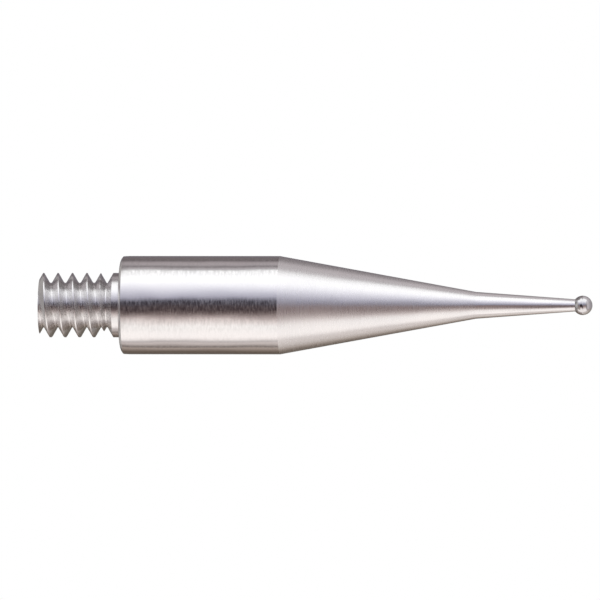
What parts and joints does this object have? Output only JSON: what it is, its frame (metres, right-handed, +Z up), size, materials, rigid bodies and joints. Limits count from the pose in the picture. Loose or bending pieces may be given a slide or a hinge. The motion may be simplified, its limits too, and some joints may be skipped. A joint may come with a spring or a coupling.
{
  "type": "dial test indicator stylus",
  "caption": "Slim measuring stylus: threaded stub, cylindrical body, long cone and tapered neck ending in a small contact ball, for the lever of a dial test indicator.",
  "frame": {"origin": "centre of the shoulder face that seats against the lever, on the stylus's axis", "axes": "+X along the axis from the shoulder to the contact ball, the threaded stub points to -X, +Z up as the stylus lies in the picture"},
  "size_m": [0.0134, 0.0024, 0.0024],
  "materials": {
    "ground_steel": "fine ground and turned steel, bare",
    "carbide": "polished tungsten carbide"
  },
  "bodies": {
    "root": {"shank": "ground_steel", "contact_ball": "carbide"}
  },
  "joints": []
}
